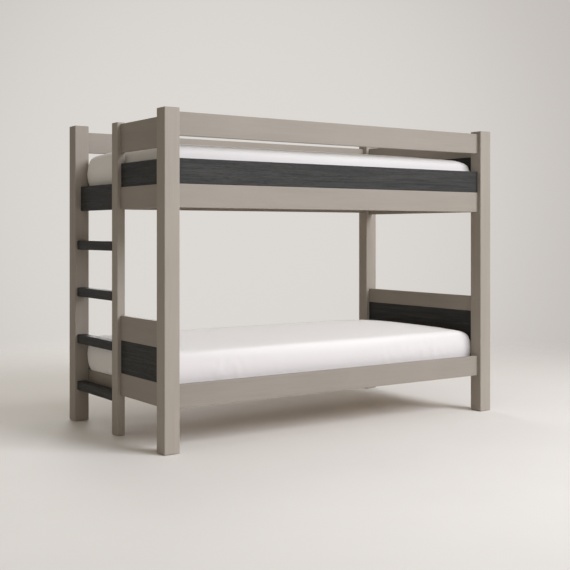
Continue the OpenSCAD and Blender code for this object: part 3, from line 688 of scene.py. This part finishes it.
def smooth_path(growth):
    """A smooth curve through the points of each line of the start mesh."""
    path = growth.node("GeometryNodeMeshToCurve", {}, Mesh=growth.given("Start"))
    path = growth.node("GeometryNodeCurveSplineType", {"spline_type": "CATMULL_ROM"},
                       Curve=path)
    return growth.node("GeometryNodeResampleCurve", {"mode": "LENGTH"}, Curve=path,
                       Length=growth.given("Step"))


folded_seam = Growth("folded_seam", Step="Float", Radius="Float", Sides="Int")
fold = folded_seam.node("GeometryNodeCurvePrimitiveCircle", {},
                        Resolution=folded_seam.given("Sides"),
                        Radius=folded_seam.given("Radius"))
folded_seam.finish(folded_seam.node("GeometryNodeCurveToMesh", {},
                                    Curve=smooth_path(folded_seam), Profile_Curve=fold,
                                    Fill_Caps=True))

stitch_rows = Growth("stitch_rows", Step="Float", Length="Float", Radius="Float",
                     Sides="Int")
spots = stitch_rows.node("GeometryNodeCurveToPoints", {"mode": "EVALUATED"},
                         Curve=smooth_path(stitch_rows), out="Points")
stitch = stitch_rows.node("GeometryNodeMeshCylinder", {}, out="Mesh",
                          Vertices=stitch_rows.given("Sides"),
                          Radius=stitch_rows.given("Radius"),
                          Depth=stitch_rows.given("Length"))
stitch_rows.finish(stitch_rows.repeat(spots, stitch, Rotation=spots.output("Rotation")))


def lines_mesh(name, lines):
    """A mesh of open lines, each through its own row of points."""
    count = len(lines[0])
    edges = [(line * count + k, line * count + k + 1)
             for line in range(len(lines)) for k in range(count - 1)]
    mesh = bpy.data.meshes.new(name)
    mesh.from_pydata(np.concatenate(lines).tolist(), edges, [])
    return mesh


def corner_seams(level, points, corners):
    """The folded seams and the stitches at the four corners of one sheet."""
    folds, stitching = [], []
    for column in corners:
        fold = points[column[:SEAM_ROWS]]
        out = np.array([*np.sign(fold[-1, :2]), 0]) / math.sqrt(2)
        aside = np.array([-out[1], out[0], 0])
        folds.append(fold)
        stitching += [fold + side * STITCHES_FROM_SEAM * aside for side in (-1, 1)]
    seams = folded_seam.grow(level + "_sheet_seams", lines_mesh("folds", folds),
                             Step=SEAM_STEP, Radius=SEAM_RADIUS, Sides=SEAM_SIDES,
                             Material=seam_cotton.material)
    stitches = stitch_rows.grow(level + "_sheet_stitches", lines_mesh("rows", stitching),
                                Step=STITCH_PITCH, Length=STITCH_LENGTH,
                                Radius=THREAD_RADIUS, Sides=THREAD_SIDES,
                                Material=seam_cotton.material)
    for piece in (seams, stitches):
        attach(piece, level + "_bedding")
    return [seams, stitches]


# The sheet is simulated as cloth for a few frames. Its hem is held under the mattress,
# and its walls have slack that varies round the bed in a few waves.
SIDE_SLACK = 0.010
SLACK_WAVES = (4, 7, 11, 19)
SLACK_SHARE, SLACK_SWING = 0.45, 0.35
HELD_ROWS = 3
KICK, KICK_RATE = 0.0004, 20
FOAM_SKIN = 0.0008
CLOTH_SKIN = 0.0012
COTTON_CLOTH = {"quality": 5, "mass": 0.15, "tension_stiffness": 30,
                "compression_stiffness": 30, "shear_stiffness": 12,
                "bending_stiffness": 0.4, "vertex_group_mass": "held",
                "vertex_group_shrink": "taut", "shrink_min": -SIDE_SLACK,
                "shrink_max": 0.0}
SETTLE_FRAMES = 16
MOST_SETTLED = 0.004


def settled(sheet, mattress, columns, start, seed):
    """Where the sheet's points come to lie as the slack in its walls settles."""
    chance = np.random.default_rng(seed)
    turn = np.linspace(0, 2 * math.pi, columns.shape[1], endpoint=False)
    uneven = sum(np.sin(n * turn + chance.uniform(0, 2 * math.pi)) for n in SLACK_WAVES)
    slack = np.clip(SLACK_SHARE + SLACK_SWING * uneven, 0, 1)
    held = sheet.vertex_groups.new(name="held")
    held.add(columns[-HELD_ROWS:].ravel().tolist(), 1.0, "REPLACE")
    taut = sheet.vertex_groups.new(name="taut")
    taut.add(list(range(len(start))), 1.0, "REPLACE")
    for column, share in zip(columns[SHOULDER_ROWS:-HELD_ROWS - 1].T.tolist(), slack):
        taut.add(column, 1 - share, "REPLACE")
    kick = KICK * np.sin(start @ chance.normal(size=(3, 3)) * KICK_RATE)
    sheet.data.vertices.foreach_set("co", (start + kick).ravel())
    mattress.modifiers.new("solid", "COLLISION")
    mattress.collision.thickness_outer = FOAM_SKIN
    cloth = sheet.modifiers.new("cloth", "CLOTH")
    for setting, value in COTTON_CLOTH.items():
        setattr(cloth.settings, setting, value)
    cloth.collision_settings.distance_min = CLOTH_SKIN
    cloth.collision_settings.collision_quality = 2
    for number in range(1, SETTLE_FRAMES + 1):
        bpy.context.scene.frame_set(number)
    seen = sheet.evaluated_get(bpy.context.evaluated_depsgraph_get())
    points = np.zeros(start.size)
    seen.to_mesh().vertices.foreach_get("co", points)
    seen.to_mesh_clear()
    sheet.modifiers.remove(cloth)
    mattress.modifiers.remove(mattress.modifiers["solid"])
    bpy.context.scene.frame_set(1)
    sheet.vertex_groups.clear()
    move = points.reshape(-1, 3) - start
    far = np.maximum(np.linalg.norm(move, axis=1, keepdims=True), 1e-9)
    return start + move * np.minimum(1, MOST_SETTLED / far)


def cloth_places(points, top, columns):
    """Where each face corner lies on the flat cut: a flap of wall beside each edge."""
    rim = points[columns[0], :2]
    drop = np.linalg.norm(np.diff(points[columns], axis=0), axis=2)
    down = np.vstack([np.zeros(len(rim)), np.cumsum(drop, axis=0)])
    beside = np.roll(rim, -1, axis=0)
    ahead = beside - rim
    out = np.where(np.abs(ahead[:, :1]) > np.abs(ahead[:, 1:]),
                   [0, 1] * np.sign(rim + beside), [1, 0] * np.sign(rim + beside))
    down_beside = np.roll(down, -1, axis=1)
    walls = np.stack([rim + out * down[:-1, :, None], rim + out * down[1:, :, None],
                      beside + out * down_beside[1:, :, None],
                      beside + out * down_beside[:-1, :, None]], axis=2)
    return np.concatenate([points[top][:, :, :2].reshape(-1, 2), walls.reshape(-1, 2)])


# The hem is gathered by its elastic. The sheets stay clear of the posts, the end boards
# and the slats by a little less than the well has room.
GATHERS = 130
GATHER_DEPTH = 0.003
GATHERED_ROWS = ((-2, 0.35), (-1, 1.0))
BESIDE_POSTS = 0.993
POST_CLEAR = 0.4868
END_CLEAR = 1.0186
HEM_LOWEST = -0.0012

for level, seed in (("upper", 5), ("lower", 11)):
    mattress = mattresses[level]
    base = np.array([0, 0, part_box(level + "_mattress")[0].z])
    points, top, columns = mattress_shape(SHEET_STAND_OFF, HEM_REACH)
    sheet = new_piece(level + "_cotton_sheet", points + base, [*top, *wall_faces(columns)],
                      cotton.material)
    points = settled(sheet, mattress, columns, points + base, seed) - base
    turn = np.linspace(0, 2 * math.pi, columns.shape[1], endpoint=False)
    for row, share in GATHERED_ROWS:
        edge = columns[row]
        points[edge, :2] *= 1 + share * GATHER_DEPTH * np.sin(turn * GATHERS)[:, None]
    beside_post = np.abs(points[:, 0]) > BESIDE_POSTS
    points[beside_post, 1] = np.clip(points[beside_post, 1], -POST_CLEAR, POST_CLEAR)
    points[:, 0] = np.clip(points[:, 0], -END_CLEAR, END_CLEAR)
    points[:, 2] = np.maximum(points[:, 2], HEM_LOWEST)
    sheet.data.vertices.foreach_set("co", (points + base).ravel())
    cut = sheet.data.uv_layers.new(name="cut")
    cut.data.foreach_set("uv", cloth_places(points, top, columns).ravel())
    finer = sheet.modifiers.new("finer", "SUBSURF")
    finer.levels = finer.render_levels = 1
    thick = sheet.modifiers.new("cloth_thickness", "SOLIDIFY")
    thick.thickness = SHEET_THICKNESS
    thick.offset = -1
    across, along_it = len(grid_steps(MATTRESS_LENGTH)), len(grid_steps(MATTRESS_WIDTH))
    corners = columns.T[[0, across - 1, across + along_it - 2, 2 * across + along_it - 3]]
    corner_seams(level, points + base, corners)
    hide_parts(level + "_fitted_sheet")
    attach(sheet, level + "_bedding")

# ------------------------------------------------------------------ floor and light
# The bed stands in a plain studio: a pale seamless floor that fades into the backdrop,
# which has a painted pool of light behind the bed. A large soft lamp in front on the right
# lights it, with weaker lamps in front, above and behind, and dim light from all round.
FLOOR_RADIUS = 12.0
FLOOR_SIDES = 96
FLOOR_COLOUR = (0.85, 0.82, 0.795)
FADE_FROM, FADE_TO = 2.0, 5.2

floor = bpy.data.objects.new("floor", bpy.data.meshes.new("floor"))
turns = np.linspace(0, 2 * math.pi, FLOOR_SIDES, endpoint=False)
floor.data.from_pydata([(FLOOR_RADIUS * math.cos(t), FLOOR_RADIUS * math.sin(t), 0)
                        for t in turns], [], [tuple(range(FLOOR_SIDES))])
bpy.context.scene.collection.objects.link(floor)
studio_floor = Finish("studio_floor", Specular_IOR_Level=0.2)
grain = studio_floor.noise(studio_floor.place(), scale=1.6, detail=4.0, roughness=0.6)
speckle = studio_floor.noise(studio_floor.place(), scale=40.0, detail=3.0)
floor_paint = studio_floor.feed(
    Base_Color=studio_floor.blend(shaded(FLOOR_COLOUR, 0.97), shaded(FLOOR_COLOUR, 1.03),
                                  grain * 0.8 + speckle * 0.2),
    Roughness=0.62 + speckle * 0.1,
)
from_bed = studio_floor.node("ShaderNodeVectorMath", {"operation": "LENGTH"},
                             studio_floor.place(), out="Value")
surface = studio_floor.node(
    "ShaderNodeMixShader", {}, studio_floor.ramp(from_bed, FADE_FROM, FADE_TO),
    Varying(studio_floor, studio_floor.shader.outputs[0]),
    studio_floor.node("ShaderNodeBsdfTransparent", {}))
studio_floor.tree.links.new(surface.socket,
                            studio_floor.tree.nodes["Material Output"].inputs["Surface"])
floor.data.materials.append(floor_paint)

# The backdrop is what the camera sees past the floor, and also through glass or in a
# reflection. Everything else is lit by the ambient light instead.
AMBIENT = 0.30
AMBIENT_COLOUR = (1.0, 0.92, 0.765)
# The backdrop is painted lighter in a pool towards POOL_TOWARDS and darker at its edges: a
# painted pool of light.
BACKDROP_MIDDLE = (0.716, 0.687, 0.655)
BACKDROP_EDGE = (0.552, 0.521, 0.497)
POOL_TOWARDS = (0.5237, 0.8512, 0.035)
POOL_SPREAD = math.radians(22)

world = bpy.data.worlds.new("studio")
world.use_nodes = True
bpy.context.scene.world = world
studio = Nodes(world.node_tree)
camera_ray, glossy_ray, clear_ray = (
    studio.node("ShaderNodeLightPath", {}, out="Is %s Ray" % ray)
    for ray in ("Camera", "Glossy", "Transmission"))
towards = studio.node("ShaderNodeVectorMath", {"operation": "DOT_PRODUCT"},
                      studio.node("ShaderNodeTexCoord", {}, out="Object"), POOL_TOWARDS,
                      out="Value")
backdrop = studio.blend(BACKDROP_EDGE, BACKDROP_MIDDLE,
                        studio.ramp(towards, math.cos(POOL_SPREAD), 1.0))
surroundings = studio.node(
    "ShaderNodeMixShader", {}, camera_ray + glossy_ray + clear_ray,
    studio.node("ShaderNodeBackground", {}, AMBIENT_COLOUR, AMBIENT),
    studio.node("ShaderNodeBackground", {}, backdrop, 1.0))
studio.tree.links.new(surroundings.socket,
                      studio.tree.nodes["World Output"].inputs["Surface"])

# The lamps stand on a sphere round a point between the two beds
LAMP_REACH = 9.0
LAMP_AIM = 0.9
DAYLIGHT = (0.925, 0.95, 1.0)


def softbox(name, turn, rise, size, power, colour=(1, 1, 1)):
    """A square soft lamp that faces the bed, from a turn to the right of straight in
    front and a rise over the floor, both in degrees."""
    turn, rise = math.radians(turn), math.radians(rise)
    lamp = bpy.data.lights.new(name, "AREA")
    lamp.shape, lamp.size, lamp.energy, lamp.color = "SQUARE", size, power, colour
    holder = bpy.data.objects.new(name, lamp)
    holder.location = (LAMP_REACH * math.sin(turn) * math.cos(rise),
                       -LAMP_REACH * math.cos(turn) * math.cos(rise),
                       LAMP_AIM + LAMP_REACH * math.sin(rise))
    holder.rotation_euler = (math.pi / 2 - rise, 0, turn)
    bpy.context.scene.collection.objects.link(holder)


softbox("key_softbox", turn=24, rise=29, size=4.6, power=720, colour=DAYLIGHT)
softbox("fill_softbox", turn=-8, rise=18, size=4.0, power=80, colour=DAYLIGHT)
softbox("top_softbox", turn=10, rise=78, size=4.0, power=50)
softbox("back_softbox", turn=165, rise=16, size=4.0, power=190)

bpy.context.scene.view_settings.view_transform = "Standard"
